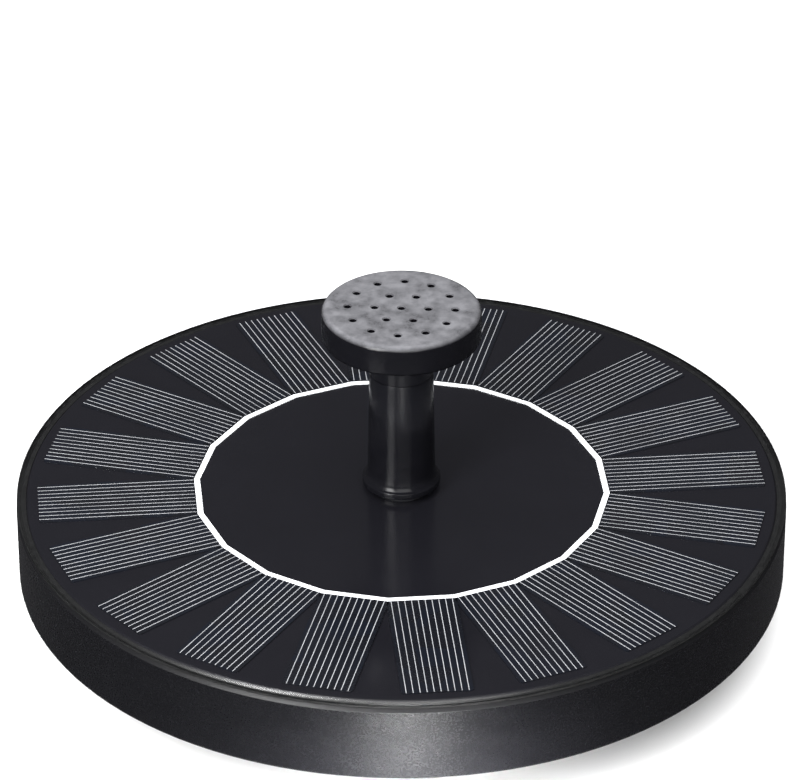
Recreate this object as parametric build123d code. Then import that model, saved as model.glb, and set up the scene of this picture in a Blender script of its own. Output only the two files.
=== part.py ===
"""Floating solar fountain pump: a round buoyant body with a solar panel on top, a
submersible pump in its centre well, and a push-on riser with a spray head.

Frame: origin at the centre of the foot that the pump stands on, +Z up, millimetres.
Each function returns one sub-part in its place; the table at the end names them.
"""

import math
import os

from build123d import *

# ---- clearances ----------------------------------------------------------------
RUNNING = 0.04  # a turning bore round its shaft
PUSH_FIT = 0.06  # a push-on socket round its spigot
SEAT_GAP = 0.1  # a seated loose piece over what it rests on
BOND_GAP = 0.05  # glued faces
LOOSE = 0.4  # a piece dropped into its pocket

# ---- float body ----------------------------------------------------------------
BODY_DIAMETER = 160.0
SHELL_HEIGHT = 16.6
SHELL_WALL = 2.0
SHELL_FLOOR = 2.0
SHELL_TOP_CHAMFER = 0.9
SHELL_BOTTOM_EDGE = 0.5
FOOT_DROP = 12.0  # how far the strainer hangs under the float
TRAY_LEDGE_WIDTH = 3.5
TRAY_LEDGE_HEIGHT = 2.0
RIB_COUNT = 6
RIB_THICKNESS = 1.6
RIB_HEADROOM = 3.2
WELL_WALL = 2.0
LEDGE_THICKNESS = 2.0
BOSS_HEIGHT = 6.0
BOSS_RADIUS = 3.0
FOAM_TO_RIB = 0.5

# ---- solar panel ----------------------------------------------------------------
SEAL_THICKNESS = 0.3
SEAL_INSET = 1.0
COVER_HEIGHT = 1.8  # edge of the clear cover, above the seal
COVER_THICKNESS = 1.2
COVER_SHOULDER = 1.5  # radius of its outer edge
TRAY_SINK = 0.8  # backing board's underside, below the shell's rim
TRAY_EDGE = 0.3
CELL_COUNT = 20
CELL_THICKNESS = 0.3
CELL_MARGIN = 4.6  # from the cells' outer ends to the body's edge
RING_APOTHEM = 42.2  # middle of each side of the polygon ring
RING_WIDTH = 1.2
RING_THICKNESS = 0.2
CELL_GAP = 0.3
SPOUT_HOLE_GAP = 0.4
PAD_RADIUS = 1.8
PAD_THICKNESS = 0.4

# ---- pump housing ----------------------------------------------------------------
MOTOR_TO_DUCT = 0.4  # between the stator and the outlet duct's wall
FLANGE_THICKNESS = 2.5
GASKET_THICKNESS = 0.8
WELL_ROOM = 2.8  # round the motor can
SCREW_SETBACK = 3.2  # screw circle outside the well
FLANGE_LIP = 2.8  # flange outside the screw circle
SCREW_COUNT = 4
SCREW_SHANK = 1.3
SCREW_HEAD_RADIUS = 2.3
SCREW_HEAD_HEIGHT = 1.5
SCREW_LENGTH = 8.0
SCREW_HEAD_ROOM = 0.44  # between a screw head and the strainer's rim
STRAINER_RIM_WALL = 2.0
STRAINER_RIM_HEIGHT = 2.6
DUCT_BORE = 3.4
DUCT_WALL = 2.2
SPIGOT_WALL = 1.6
SPIGOT_HEIGHT = 9.0
ORING_SECTION = 0.32
ORING_HEIGHT = 5.0
SPOUT_SEAL_WALL = 2.4
SPOUT_SEAL_HEIGHT = 1.5

# ---- motor ------------------------------------------------------------------------
SHAFT_RADIUS = 1.0
ROTOR_RADIUS = 4.4
ROTOR_LENGTH = 9.4
SLEEVE_RADIUS = 2.6
ROTOR_GAP = 0.6
CAN_WALL = 0.7
STATOR_OUTER = 12.0
STATOR_YOKE = 1.9
STATOR_HEIGHT = 6.0
STATOR_LIFT = 1.7
POLE_COUNT = 4
POLE_WIDTH = 3.0
COIL_BUILD = 1.2
POTTING_ROOM = 0.8
POTTING_WALL = 1.4
POTTING_DEPTH = 11.5
BOARD_THICKNESS = 1.0
BOARD_LIFT = 9.1
BUSH_RADIUS = 2.2
BUSH_LENGTH = 1.8
BUSH_SOCKET_WALL = 0.9
WASHER_THICKNESS = 0.4
LEAD_RADIUS = 0.65

# ---- impeller and volute ------------------------------------------------------------
IMPELLER_RADIUS = 8.6
IMPELLER_BACK = 0.8
VANE_HEIGHT = 3.3
VANE_THICKNESS = 1.0
VANE_COUNT = 6
HUB_RADIUS = 3.0
BACK_CLEARANCE = 0.3
VOLUTE_GAP = 1.9  # round the impeller
VOLUTE_WALL = 1.5
VOLUTE_DEPTH = 5.5
CHANNEL_WIDTH = 5.0
VOLUTE_COVER_THICKNESS = 1.5
EYE_RADIUS = 5.2
EYE_HUB_RADIUS = 3.0
EYE_SPOKE = 1.2
LUG_RADIUS = 2.6
LUG_SETBACK = 1.5  # screw centre beyond the volute wall
SMALL_SCREW_SHANK = 0.8
SMALL_SCREW_HEAD = 1.8
SMALL_SCREW_HEAD_HEIGHT = 1.2
SMALL_SCREW_LENGTH = 5.0

# ---- strainer -----------------------------------------------------------------------
STRAINER_WALL = 1.6
STRAINER_FLOOR = 1.6
STRAINER_EDGE = 1.0
TAB_COUNT = 3
TAB_REACH = 0.7
TAB_WIDTH = 6.0
TAB_HEIGHT = 1.1
TAB_TWIST = 30.0  # how far the cap turns to release its tabs
TAB_CLEARANCE = 0.25
SLOT_WIDTH = 1.6
SIDE_SLOTS = 36
SIDE_SLOT_START = 2.8
FLOOR_SLOTS = 24
FLOOR_SLOT_INNER = 12.0
FLOOR_SLOT_MARGIN = 5.4

# ---- riser and spray head ---------------------------------------------------------------
RISER_BASE_LIP = 1.1  # foot ring outside the tapered tube
RISER_BASE_HEIGHT = 4.0
RISER_TAPER = 0.4  # what the tube gains in radius from top to foot
RISER_SHOULDER = 1.4  # seat for the head's neck
RISER_HEIGHT = 26.4  # to the shoulder that the head's neck sits on
RISER_BORE = 3.8
RISER_BASE_EDGE = 2.6  # height of the flare from the tube out to the foot ring
TOP_SPIGOT_WALL = 1.4
TOP_SPIGOT_HEIGHT = 5.0
NECK_LENGTH = 6.4
HEAD_RADIUS = 16.4
BOWL_HEIGHT = 2.2  # from the neck up to the cap's lower edge
CAP_HEIGHT = 6.3
CAP_WALL = 1.5
CAP_EDGE = 1.4
CUP_WALL = 1.3
CUP_RIM_HEIGHT = 1.7
JET_RADIUS = 0.7
JET_RINGS = ((0.0, 1), (5.5, 6), (11.0, 12))  # circle radius, holes on it

# ---- levels and radii that follow ---------------------------------------------------------
body_radius = BODY_DIAMETER / 2
shell_bottom = FOOT_DROP
seam = shell_bottom + SHELL_HEIGHT
seal_top = seam + SEAL_THICKNESS
panel_top = seal_top + COVER_HEIGHT
cover_under = panel_top - COVER_THICKNESS
tray_top = cover_under - BOND_GAP - CELL_THICKNESS
tray_bottom = seam - TRAY_SINK
shell_inner = body_radius - SHELL_WALL
tray_radius = shell_inner - 2 * BOND_GAP
flange_bottom = shell_bottom
flange_top = flange_bottom + FLANGE_THICKNESS
ledge_bottom = flange_top + GASKET_THICKNESS
ledge_top = ledge_bottom + LEDGE_THICKNESS
rib_top = seam - RIB_HEADROOM
duct_outer = DUCT_BORE + DUCT_WALL
spigot_radius = DUCT_BORE + SPIGOT_WALL
spigot_top = panel_top + SPIGOT_HEIGHT
rotor_well_radius = ROTOR_RADIUS + ROTOR_GAP
can_outer = rotor_well_radius + CAN_WALL
motor_offset = duct_outer + MOTOR_TO_DUCT + STATOR_OUTER  # along +X from the outlet
potting_radius = STATOR_OUTER + POTTING_ROOM
potting_top = flange_top + POTTING_DEPTH
well_radius = motor_offset + potting_radius + POTTING_WALL + WELL_ROOM
well_outer = well_radius + WELL_WALL
screw_circle = well_radius + SCREW_SETBACK
flange_radius = screw_circle + FLANGE_LIP
recess_radius = flange_radius + LOOSE
recess_outer = recess_radius + WELL_WALL
volute_radius = IMPELLER_RADIUS + VOLUTE_GAP
volute_bottom = flange_bottom - VOLUTE_DEPTH
cover_bottom = volute_bottom - VOLUTE_COVER_THICKNESS
board_bottom = flange_top + BOARD_LIFT
board_top = board_bottom + BOARD_THICKNESS
impeller_back_top = flange_bottom - BACK_CLEARANCE
impeller_back_bottom = impeller_back_top - IMPELLER_BACK
vane_bottom = impeller_back_bottom - VANE_HEIGHT
rotor_bottom = flange_bottom + 2 * ROTOR_GAP
rotor_top = rotor_bottom + ROTOR_LENGTH
rear_washer_bottom = rotor_top + BOND_GAP
bush_socket_bottom = rear_washer_bottom + WASHER_THICKNESS + BOND_GAP
well_ceiling = bush_socket_bottom + BUSH_LENGTH
can_top = well_ceiling + CAN_WALL
front_bush_top = vane_bottom - 2 * BOND_GAP - WASHER_THICKNESS
strainer_rim_outer = screw_circle - SCREW_HEAD_RADIUS - SCREW_HEAD_ROOM
strainer_rim_inner = strainer_rim_outer - STRAINER_RIM_WALL
strainer_radius = strainer_rim_inner - PUSH_FIT
floor_slot_outer = strainer_radius - FLOOR_SLOT_MARGIN
strainer_top = flange_bottom - SEAT_GAP
tab_bottom = strainer_top - TAB_HEIGHT
groove_bottom = tab_bottom - TAB_CLEARANCE
groove_radius = strainer_radius + TAB_REACH + TAB_CLEARANCE
riser_bottom = panel_top + SEAT_GAP
riser_shoulder = riser_bottom + RISER_HEIGHT
top_spigot_radius = RISER_BORE + TOP_SPIGOT_WALL
riser_top_radius = top_spigot_radius + RISER_SHOULDER
riser_foot_radius = riser_top_radius + RISER_TAPER
neck_bottom = riser_shoulder + SEAT_GAP
bowl_bottom = neck_bottom + NECK_LENGTH
cap_bottom = bowl_bottom + BOWL_HEIGHT
cap_top = cap_bottom + CAP_HEIGHT
channel_side = volute_radius - CHANNEL_WIDTH / 2  # channel's axis from the motor's
channel_angle = math.degrees(math.asin(channel_side / motor_offset))
channel_length = math.sqrt(motor_offset**2 - channel_side**2)
motor_axis = Pos(motor_offset, 0, 0)


# ---- small shapes -----------------------------------------------------------------------
def rod(radius, low, high):
    """A cylinder on the Z axis between two levels."""
    bottom = (Align.CENTER, Align.CENTER, Align.MIN)
    return Pos(0, 0, low) * Cylinder(radius, high - low, align=bottom)


def ring(outer, inner, low, high):
    """A plain tube on the Z axis; its bore is cut right through."""
    return rod(outer, low, high) - rod(inner, low - 1, high + 1)


def turned(outline):
    """A body of revolution from an outline of edges in radius and height."""
    return revolve(Plane.XZ * make_face(outline), Axis.Z)


def bar(length, width, low, high):
    """A bar from the Z axis along +X."""
    start = (Align.MIN, Align.CENTER, Align.MIN)
    return Pos(0, 0, low) * Box(length, width, high - low, align=start)


def around(shape, count, first=0.0):
    """The shape repeated about the Z axis, as a list."""
    return [Rot(0, 0, first + i * 360 / count) * shape for i in range(count)]


def pan_head_screw(head_bottom, head_radius, head_height, shank, length):
    """A screw driven upwards, with a cross recess in its head's underside."""
    head = rod(head_radius, head_bottom, head_bottom + head_height)
    head = fillet(head.edges().group_by(Axis.Z)[0], head_height * 0.45)
    reach = head_radius * 0.55
    arm = Box(2 * reach, head_radius * 0.24, head_height)
    recess = Pos(0, 0, head_bottom) * (arm + Rot(0, 0, 90) * arm)
    neck = rod(shank, head_bottom + head_height, head_bottom + head_height + length)
    tip = neck.edges().group_by(Axis.Z)[-1]
    return head - recess + chamfer(tip, shank * 0.5)


# ---- float ------------------------------------------------------------------------------
def screw_places():
    """Where the flange screws stand."""
    turn = 180 / SCREW_COUNT
    return [
        Rot(0, 0, turn + i * 360 / SCREW_COUNT) * Pos(screw_circle, 0, 0)
        for i in range(SCREW_COUNT)
    ]


def float_shell():
    wall = rod(body_radius, shell_bottom, seam)
    wall = chamfer(wall.edges().group_by(Axis.Z)[-1], SHELL_TOP_CHAMFER)
    wall = fillet(wall.edges().group_by(Axis.Z)[0], SHELL_BOTTOM_EDGE)
    shell = wall - rod(shell_inner, shell_bottom + SHELL_FLOOR, seam + 1)
    ledge_low = tray_bottom - TRAY_LEDGE_HEIGHT
    shell += ring(
        shell_inner, shell_inner - TRAY_LEDGE_WIDTH, ledge_low, tray_bottom
    )
    shell += rod(recess_outer, shell_bottom, ledge_top)
    shell += ring(well_outer, well_radius, ledge_top, tray_bottom)
    rib = bar(shell_inner + 0.5, RIB_THICKNESS, shell_bottom + 1, rib_top)
    shell += [piece - rod(well_outer - 1, 0, seam) for piece in around(rib, RIB_COUNT)]
    boss = rod(BOSS_RADIUS, ledge_top - 1, ledge_top + BOSS_HEIGHT)
    shell += [place * boss for place in screw_places()]
    shell -= rod(recess_radius, shell_bottom - 1, ledge_bottom)
    shell -= rod(well_radius, shell_bottom, tray_bottom + 1)
    pilot = rod(SCREW_SHANK + BOND_GAP, ledge_bottom - 1, ledge_top + BOSS_HEIGHT - 1)
    return shell - [place * pilot for place in screw_places()]


def float_foam():
    """Closed-cell blocks, one between each pair of ribs."""
    inner = recess_outer + LOOSE
    outer = shell_inner - LOOSE
    low = shell_bottom + SHELL_FLOOR + BOND_GAP
    high = tray_bottom - TRAY_LEDGE_HEIGHT - LOOSE
    whole = ring(outer, inner, low, high)
    gap = bar(outer + 1, RIB_THICKNESS + 2 * FOAM_TO_RIB, low - 1, high + 1)
    return whole - around(gap, RIB_COUNT)


# ---- panel ------------------------------------------------------------------------------
def rim_seal():
    outer = body_radius - SEAL_INSET
    return ring(outer, shell_inner, seam, seal_top)


def spout_hole(low, high):
    return rod(duct_outer + SPOUT_HOLE_GAP, low, high)


def panel_cover():
    """Clear moulded lid over the cells, with a rounded edge."""
    outer = rod(body_radius, seal_top, panel_top)
    outer = fillet(outer.edges().group_by(Axis.Z)[-1], COVER_SHOULDER)
    inner = rod(body_radius - COVER_THICKNESS, seal_top - 1, cover_under)
    inner_edge = COVER_SHOULDER - COVER_THICKNESS
    inner = fillet(inner.edges().group_by(Axis.Z)[-1], inner_edge)
    return outer - inner - spout_hole(seal_top, panel_top + 1)


def panel_tray():
    """Black backing board that carries the cells."""
    board = rod(tray_radius, tray_bottom, tray_top)
    board = chamfer(board.edges().group_by(Axis.Z)[-1], TRAY_EDGE)
    return board - spout_hole(tray_bottom - 1, tray_top + 1)


def ring_side(apothem):
    """Length of one side of a polygon with CELL_COUNT sides."""
    return 2 * apothem * math.tan(math.pi / CELL_COUNT)


def solar_cells():
    inner = RING_APOTHEM + RING_WIDTH / 2 + CELL_GAP
    outer = body_radius - CELL_MARGIN
    width = ring_side(RING_APOTHEM) - CELL_GAP
    cell = Pos(inner, 0, 0) * bar(
        outer - inner, width, tray_top, tray_top + CELL_THICKNESS
    )
    return Compound(around(cell, CELL_COUNT, 180 / CELL_COUNT))


def bus_ring():
    """Polygon ribbon that joins the inner ends of the cells."""
    outer = RegularPolygon(RING_APOTHEM + RING_WIDTH / 2, CELL_COUNT, False)
    inner = RegularPolygon(RING_APOTHEM - RING_WIDTH / 2, CELL_COUNT, False)
    return Pos(0, 0, tray_top) * extrude(outer - inner, RING_THICKNESS)


def pad_places():
    """Where the two leads meet the panel, on its underside."""
    return {"red": (-24.0, 5.0), "black": (-24.0, -3.0)}


def solder_pads():
    pads = []
    for x, y in pad_places().values():
        pads.append(Pos(x, y, 0) * rod(PAD_RADIUS, tray_bottom - PAD_THICKNESS, tray_bottom))
    return Compound(pads)


# ---- pump housing -------------------------------------------------------------------------
def volute_plan(margin, low, high):
    """Comma shape: volute circle, straight tangent channel and the duct's end."""
    circle = motor_axis * rod(volute_radius + margin, low, high)
    channel = Rot(0, 0, channel_angle) * bar(
        channel_length, CHANNEL_WIDTH + 2 * margin, low, high
    )
    return circle + channel + rod(DUCT_BORE + margin, low, high)


def lug_places():
    """Where the volute cover's three screws stand."""
    beside_volute = volute_radius + VOLUTE_WALL + LUG_SETBACK
    behind_duct = DUCT_BORE + VOLUTE_WALL + LUG_SETBACK
    return [
        motor_axis * Pos(0, beside_volute, 0),
        motor_axis * Pos(0, -beside_volute, 0),
        Rot(0, 0, 180 + channel_angle) * Pos(behind_duct, 0, 0),
    ]


def lead_route(colour):
    """Points that a lead follows from the driver board to its pad."""
    x, y = pad_places()[colour]
    side = 1 if colour == "red" else 0
    middle = board_top + LEAD_RADIUS + BOND_GAP
    start = (8.5 + 1.6 * side, 4.6 + 1.6 * side, middle)
    rise = tray_bottom - PAD_THICKNESS - BOND_GAP
    return [
        start,
        (2.6 + 1.2 * side, 8.6 + 2.2 * side, middle),
        (-4.6, 11.4 + 2.4 * side, middle - 1.6),
        (-12.5, 12.0 + 2.4 * side, middle - 4.4),
        (x + 4.0, y + 5.2, middle - 6.4),
        (x - 0.4, y + 1.0, middle - 4.0),
        (x, y, rise - 2.6),
        (x, y, rise),
    ]


def lead_path(colour):
    """The route's runs joined by arcs as large as the runs allow."""
    points = [Vector(*p) for p in lead_route(colour)]
    radii = []
    for a, b, c in zip(points, points[1:], points[2:]):
        turn = math.radians((b - a).get_angle(c - b))
        shorter = min((b - a).length, (c - b).length)
        radii.append(0.45 * shorter / math.tan(turn / 2))
    return FilletPolyline(*points, radius=radii), radii


def lead(colour, radius=LEAD_RADIUS):
    """An insulated lead, held between the driver board and the panel."""
    path = lead_path(colour)[0]
    start = Plane(origin=path @ 0, z_dir=path % 0)
    return sweep(start * Circle(radius), path=path)


def tab_shape(margin):
    """A bayonet tab of the strainer cap, or the notch that lets it in."""
    low = tab_bottom if margin == 0 else flange_bottom - STRAINER_RIM_HEIGHT - 1
    reach = TAB_REACH + margin
    start = strainer_radius - STRAINER_WALL / 2
    return Pos(start, 0, 0) * bar(
        STRAINER_WALL / 2 + reach, TAB_WIDTH + 2 * margin, low, strainer_top
    )


def pump_housing():
    flange = rod(flange_radius, flange_bottom, flange_top)
    body = flange + ring(
        strainer_rim_outer,
        strainer_rim_inner,
        flange_bottom - STRAINER_RIM_HEIGHT,
        flange_bottom,
    )
    body += volute_plan(VOLUTE_WALL, volute_bottom, flange_bottom)
    body += [place * rod(LUG_RADIUS, volute_bottom, flange_bottom) for place in lug_places()]
    body += motor_axis * rod(potting_radius + POTTING_WALL, flange_top, potting_top)
    body -= motor_axis * rod(potting_radius, flange_top, potting_top + 1)
    body += motor_axis * rod(can_outer, flange_top, can_top)
    body += rod(duct_outer, volute_bottom, panel_top)
    body += rod(spigot_radius, panel_top, spigot_top)
    body -= volute_plan(0, volute_bottom - 1, flange_bottom)
    body -= ring(groove_radius, strainer_radius, groove_bottom, flange_bottom)
    body -= around(tab_shape(TAB_CLEARANCE), TAB_COUNT, TAB_TWIST)
    body -= rod(DUCT_BORE, flange_bottom - 1, spigot_top + 1)
    body -= motor_axis * rod(rotor_well_radius, flange_bottom - 1, well_ceiling)
    body += motor_axis * ring(
        BUSH_RADIUS + BOND_GAP + BUSH_SOCKET_WALL,
        BUSH_RADIUS + BOND_GAP,
        bush_socket_bottom,
        well_ceiling,
    )
    body -= ring(
        spigot_radius + 1,
        spigot_radius - 2 * ORING_SECTION,
        panel_top + ORING_HEIGHT - 1.2 * ORING_SECTION,
        panel_top + ORING_HEIGHT + 1.2 * ORING_SECTION,
    )
    through = rod(SCREW_SHANK + PUSH_FIT, flange_bottom - 1, flange_top + 1)
    body -= [place * through for place in screw_places()]
    pilot = rod(SMALL_SCREW_SHANK + BOND_GAP, volute_bottom - 1, flange_bottom - 1)
    body -= [place * pilot for place in lug_places()]
    notch = [lead(colour, LEAD_RADIUS + LOOSE) for colour in pad_places()]
    return body - notch


def flange_gasket():
    flat = ring(flange_radius, well_radius, flange_top, ledge_bottom)
    hole = rod(SCREW_SHANK + LOOSE, flange_top - 1, ledge_bottom + 1)
    return flat - [place * hole for place in screw_places()]


def flange_screws():
    screw = pan_head_screw(
        flange_bottom - SCREW_HEAD_HEIGHT,
        SCREW_HEAD_RADIUS,
        SCREW_HEAD_HEIGHT,
        SCREW_SHANK,
        SCREW_LENGTH,
    )
    return Compound([place * screw for place in screw_places()])


def spout_seal():
    low = tray_bottom - SPOUT_SEAL_HEIGHT
    return ring(duct_outer + SPOUT_SEAL_WALL, duct_outer, low, tray_bottom)


def spigot_oring():
    level = Pos(0, 0, panel_top + ORING_HEIGHT)
    return level * Torus(spigot_radius - ORING_SECTION, ORING_SECTION)


# ---- motor --------------------------------------------------------------------------------
def stator_core():
    low = flange_top + STATOR_LIFT
    high = low + STATOR_HEIGHT
    bore = can_outer + 0.2
    core = ring(STATOR_OUTER, STATOR_OUTER - STATOR_YOKE, low, high)
    core += around(bar(STATOR_OUTER - 0.5, POLE_WIDTH, low, high), POLE_COUNT, 45)
    shoe = ring(bore + 1.1, bore, low, high) & bar(20, 2.3 * POLE_WIDTH, low, high)
    core += around(shoe, POLE_COUNT, 45)
    return motor_axis * (core - rod(bore, low - 1, high + 1))


def stator_coils():
    """One winding round each pole, with the pole's window left open."""
    low = flange_top + STATOR_LIFT - COIL_BUILD
    high = low + STATOR_HEIGHT + 2 * COIL_BUILD
    start = can_outer + 0.2 + 1.1 + 0.15
    half_width = POLE_WIDTH / 2 + COIL_BUILD
    end = math.sqrt((STATOR_OUTER - STATOR_YOKE) ** 2 - half_width**2) - BOND_GAP
    block = Pos(start, 0, 0) * bar(
        end - start, 2 * half_width, low, high
    )
    block = fillet(block.edges().filter_by(Axis.X), COIL_BUILD * 0.7)
    window = Pos(start - 1, 0, 0) * bar(
        end - start + 2,
        POLE_WIDTH + 2 * BOND_GAP,
        low + COIL_BUILD - BOND_GAP,
        high - COIL_BUILD + BOND_GAP,
    )
    coils = around(block - window, POLE_COUNT, 45)
    return motor_axis * Compound(coils)


def driver_board():
    board = ring(STATOR_OUTER, can_outer + 0.3, board_bottom, board_top)
    return motor_axis * board


def board_parts():
    """Driver chip, capacitor and hall sensor on the driver board."""
    low = board_top
    chip = Pos(0, -8.6, low + 0.5) * Box(5.0, 3.4, 1.0)
    capacitor = Pos(8.4, 0, low + 0.5) * Box(2.0, 3.2, 1.0)
    sensor = Pos(0, 8.4, low + 0.45) * Box(3.0, 1.8, 0.9)
    return motor_axis * Compound([chip, capacitor, sensor])


def potting():
    """Resin that seals the stator and the driver board."""
    fill = motor_axis * rod(potting_radius, flange_top, potting_top - 0.3)
    fill -= motor_axis * rod(can_outer, flange_top - 1, potting_top + 1)
    fill -= rod(duct_outer, flange_top - 1, potting_top + 1)
    held = [stator_core(), stator_coils(), driver_board(), board_parts()]
    for piece in held + [lead(colour, LEAD_RADIUS) for colour in pad_places()]:
        fill -= piece
    whole = sorted(fill.solids(), key=lambda s: s.volume)[-1]
    return whole


def shaft():
    low = cover_bottom + 0.5
    pin = rod(SHAFT_RADIUS, low, well_ceiling - 0.3)
    return motor_axis * chamfer(pin.edges().filter_by(GeomType.CIRCLE), 0.2)


def rear_bush():
    cup = rod(BUSH_RADIUS, bush_socket_bottom, well_ceiling)
    return motor_axis * (cup - rod(SHAFT_RADIUS, 0, well_ceiling - 0.3))


def front_bush():
    cup = rod(BUSH_RADIUS, cover_bottom, front_bush_top)
    return motor_axis * (cup - rod(SHAFT_RADIUS, cover_bottom + 0.5, seam))


def thrust_washers():
    """Low-friction washers at each end of the rotor."""
    rear = ring(
        BUSH_RADIUS,
        SHAFT_RADIUS,
        rear_washer_bottom,
        rear_washer_bottom + WASHER_THICKNESS,
    )
    front = ring(
        BUSH_RADIUS,
        SHAFT_RADIUS,
        front_bush_top + BOND_GAP,
        front_bush_top + BOND_GAP + WASHER_THICKNESS,
    )
    return motor_axis * Compound([rear, front])


# ---- impeller and volute --------------------------------------------------------------------
def vane():
    """One blade, curved backwards from the hub to the rim."""
    inner = HUB_RADIUS - 0.4
    middle = (inner + IMPELLER_RADIUS) / 2
    points = []
    for radius, lag in ((inner, 0.0), (middle, -18.0), (IMPELLER_RADIUS - 0.2, -42.0)):
        turn = math.radians(lag)
        points.append((radius * math.cos(turn), radius * math.sin(turn)))
    spine = ThreePointArc(*points)
    start = Plane(origin=spine @ 0, x_dir=(0, 0, 1), z_dir=spine % 0)
    section = start * Rectangle(VANE_HEIGHT + 0.3, VANE_THICKNESS)
    blade = sweep(section, path=spine)
    return Pos(0, 0, vane_bottom + (VANE_HEIGHT + 0.3) / 2) * blade


def impeller():
    wheel = rod(IMPELLER_RADIUS, impeller_back_bottom, impeller_back_top)
    wheel += rod(HUB_RADIUS, vane_bottom, impeller_back_bottom)
    wheel += rod(SLEEVE_RADIUS, impeller_back_top, rotor_top)
    wheel += ring(ROTOR_RADIUS, 1, impeller_back_top, rotor_bottom - BOND_GAP)
    wheel += around(vane(), VANE_COUNT)
    wheel -= rod(SHAFT_RADIUS + RUNNING, 0, seam)
    return motor_axis * wheel


def rotor_magnet():
    magnet = ring(ROTOR_RADIUS, SLEEVE_RADIUS, rotor_bottom, rotor_top - BOND_GAP)
    return motor_axis * magnet


def volute_cover():
    plate = volute_plan(VOLUTE_WALL, cover_bottom, volute_bottom)
    plate += [place * rod(LUG_RADIUS, cover_bottom, volute_bottom) for place in lug_places()]
    eye = rod(EYE_RADIUS, cover_bottom - 1, volute_bottom + 1)
    spoke = bar(EYE_RADIUS + 1, EYE_SPOKE, cover_bottom, volute_bottom)
    spider = around(spoke, 3, 60)
    plate -= motor_axis * eye
    plate += [motor_axis * arm for arm in spider]
    plate += motor_axis * rod(EYE_HUB_RADIUS, cover_bottom, front_bush_top)
    plate -= motor_axis * rod(BUSH_RADIUS + BOND_GAP, cover_bottom - 1, seam)
    through = rod(SMALL_SCREW_SHANK + BOND_GAP, cover_bottom - 1, volute_bottom + 1)
    return plate - [place * through for place in lug_places()]


def cover_screws():
    screw = pan_head_screw(
        cover_bottom - SMALL_SCREW_HEAD_HEIGHT,
        SMALL_SCREW_HEAD,
        SMALL_SCREW_HEAD_HEIGHT,
        SMALL_SCREW_SHANK,
        SMALL_SCREW_LENGTH,
    )
    return Compound([place * screw for place in lug_places()])


# ---- strainer --------------------------------------------------------------------------------
def strainer_cap():
    cup = rod(strainer_radius, 0, strainer_top)
    cup = fillet(cup.edges().group_by(Axis.Z)[0], STRAINER_EDGE)
    cup += around(tab_shape(0), TAB_COUNT)
    cup -= rod(strainer_radius - STRAINER_WALL, STRAINER_FLOOR, strainer_top + 1)
    slot_end = flange_bottom - STRAINER_RIM_HEIGHT - 0.6
    side = Pos(strainer_radius - 2 * STRAINER_WALL, 0, 0) * bar(
        3 * STRAINER_WALL, SLOT_WIDTH, SIDE_SLOT_START, slot_end
    )
    cup -= around(side, SIDE_SLOTS)
    length = floor_slot_outer - FLOOR_SLOT_INNER
    middle = (floor_slot_outer + FLOOR_SLOT_INNER) / 2
    floor = Pos(middle, 0, 0) * extrude(
        SlotOverall(length, SLOT_WIDTH), STRAINER_FLOOR + 1, both=True
    )
    return cup - around(floor, FLOOR_SLOTS)


# ---- riser and spray head ---------------------------------------------------------------------
def riser_tube():
    collar_top = riser_bottom + RISER_BASE_HEIGHT
    spigot_end = riser_shoulder + TOP_SPIGOT_HEIGHT
    base_radius = riser_foot_radius + RISER_BASE_LIP
    edge = RISER_BASE_EDGE
    outline = Polyline(
        (0, riser_bottom),
        (base_radius, riser_bottom),
        (base_radius, collar_top - edge),
        (riser_foot_radius, collar_top),
        (riser_top_radius, riser_shoulder),
        (top_spigot_radius, riser_shoulder),
        (top_spigot_radius, spigot_end),
        (0, spigot_end),
        close=True,
    )
    tube = turned(outline)
    tube -= rod(RISER_BORE, riser_bottom - 1, spigot_end + 1)
    socket_top = spigot_top + SEAT_GAP
    return tube - rod(spigot_radius + PUSH_FIT, riser_bottom - 1, socket_top)


def nozzle_cup():
    """Neck and bowl under the spray cap."""
    rim_top = cap_bottom + CUP_RIM_HEIGHT
    rim_outer = HEAD_RADIUS - CAP_WALL - BOND_GAP
    rim_inner = rim_outer - CUP_WALL
    stop_bottom = riser_shoulder + TOP_SPIGOT_HEIGHT + SEAT_GAP
    bowl_floor = bowl_bottom + CUP_WALL
    bowl_end = (HEAD_RADIUS - BOND_GAP, cap_bottom - BOND_GAP)
    bowl_start = (riser_top_radius, bowl_bottom)
    bulge = (
        bowl_start[0] + 0.66 * (bowl_end[0] - bowl_start[0]),
        bowl_start[1] + 0.30 * (bowl_end[1] - bowl_start[1]),
    )
    inner_start = (rim_inner, cap_bottom + 0.4)
    inner_end = (riser_top_radius, bowl_floor)
    inner_bulge = (
        inner_end[0] + 0.66 * (inner_start[0] - inner_end[0]),
        inner_end[1] + 0.34 * (inner_start[1] - inner_end[1]),
    )
    outline = [
        Polyline((0, neck_bottom), (riser_top_radius, neck_bottom), bowl_start),
        ThreePointArc(bowl_start, bulge, bowl_end),
        Polyline(
            bowl_end,
            (rim_outer, bowl_end[1]),
            (rim_outer, rim_top),
            (rim_inner, rim_top),
            inner_start,
        ),
        ThreePointArc(inner_start, inner_bulge, inner_end),
        Polyline(inner_end, (0, bowl_floor), (0, neck_bottom)),
    ]
    cup = turned(Curve() + outline)
    cup -= rod(RISER_BORE, neck_bottom - 1, bowl_floor + 1)
    return cup - rod(top_spigot_radius + PUSH_FIT, neck_bottom - 1, stop_bottom)


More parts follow.
